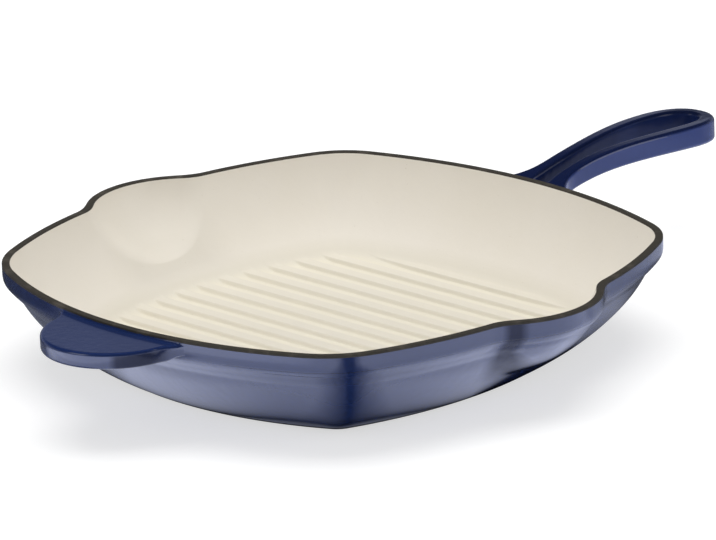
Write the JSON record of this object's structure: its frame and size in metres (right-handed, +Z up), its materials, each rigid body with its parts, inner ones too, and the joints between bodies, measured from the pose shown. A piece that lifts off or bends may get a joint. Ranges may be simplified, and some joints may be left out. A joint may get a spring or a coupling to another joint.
{
  "type": "grill pan",
  "caption": "Square enamelled cast-iron grill pan with a ribbed floor, bowed sides, opposite pouring spouts, a slotted loop handle and a half-round helper grip.",
  "frame": {"origin": "middle of the flat foot's underside, where the pan stands on a hob or table", "axes": "+X towards the end of the loop handle, +Y towards one pouring spout, +Z up through the open top"},
  "size_m": [0.4179, 0.2922, 0.0536],
  "materials": {
    "iron_casting": "rough cast, hidden under enamel",
    "interior_enamel": "satin gloss cream enamel",
    "exterior_enamel": "glossy navy enamel with a fine orange peel",
    "underside_enamel": "dull dark enamel, rubbed where the pan slides",
    "rim_enamel": "matte dark grey-brown enamel"
  },
  "bodies": {
    "root": {"iron_casting": "iron_casting", "interior_enamel": "interior_enamel", "exterior_enamel": "exterior_enamel", "underside_enamel": "underside_enamel", "rim_enamel": "rim_enamel"}
  },
  "joints": []
}
